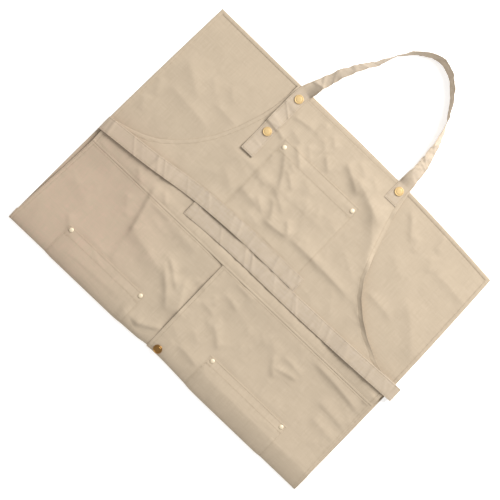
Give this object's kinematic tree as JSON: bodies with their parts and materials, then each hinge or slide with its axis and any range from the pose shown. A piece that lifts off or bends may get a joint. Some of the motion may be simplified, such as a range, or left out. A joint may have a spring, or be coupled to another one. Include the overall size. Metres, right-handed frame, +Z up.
{
  "type": "pottery apron",
  "caption": "Folded split-leg canvas pottery apron with a bib, patch pockets, waist ties and a neck strap with snap caps, lying flat.",
  "frame": {"origin": "on the surface the apron lies on, under the middle of its bounding box", "axes": "+Z up from the surface, +Y from the fold towards the neck strap, +X to the viewer's right across the apron"},
  "size_m": [0.7256, 0.746, 0.0276],
  "materials": {
    "canvas": "matte cotton canvas, khaki beige",
    "tape": "matte doubled cotton canvas",
    "rivet_metal": "bright satin",
    "snap_brass": "satin brass"
  },
  "bodies": {
    "root": {"bib_panel": "canvas", "left_leg": "canvas", "right_leg": "canvas", "chest_pocket": "canvas", "left_leg_pocket": "canvas", "right_leg_pocket": "canvas", "neck_strap": "tape", "left_waist_tie": "tape", "right_waist_tie": "tape", "chest_rivet_left": "rivet_metal", "chest_rivet_right": "rivet_metal", "left_leg_rivet_outer": "rivet_metal", "left_leg_rivet_inner": "rivet_metal", "right_leg_rivet_inner": "rivet_metal", "right_leg_rivet_outer": "rivet_metal", "neck_snap_upper_left": "snap_brass", "neck_snap_lower_left": "snap_brass", "neck_snap_right": "snap_brass", "leg_snap": "snap_brass"}
  },
  "joints": []
}
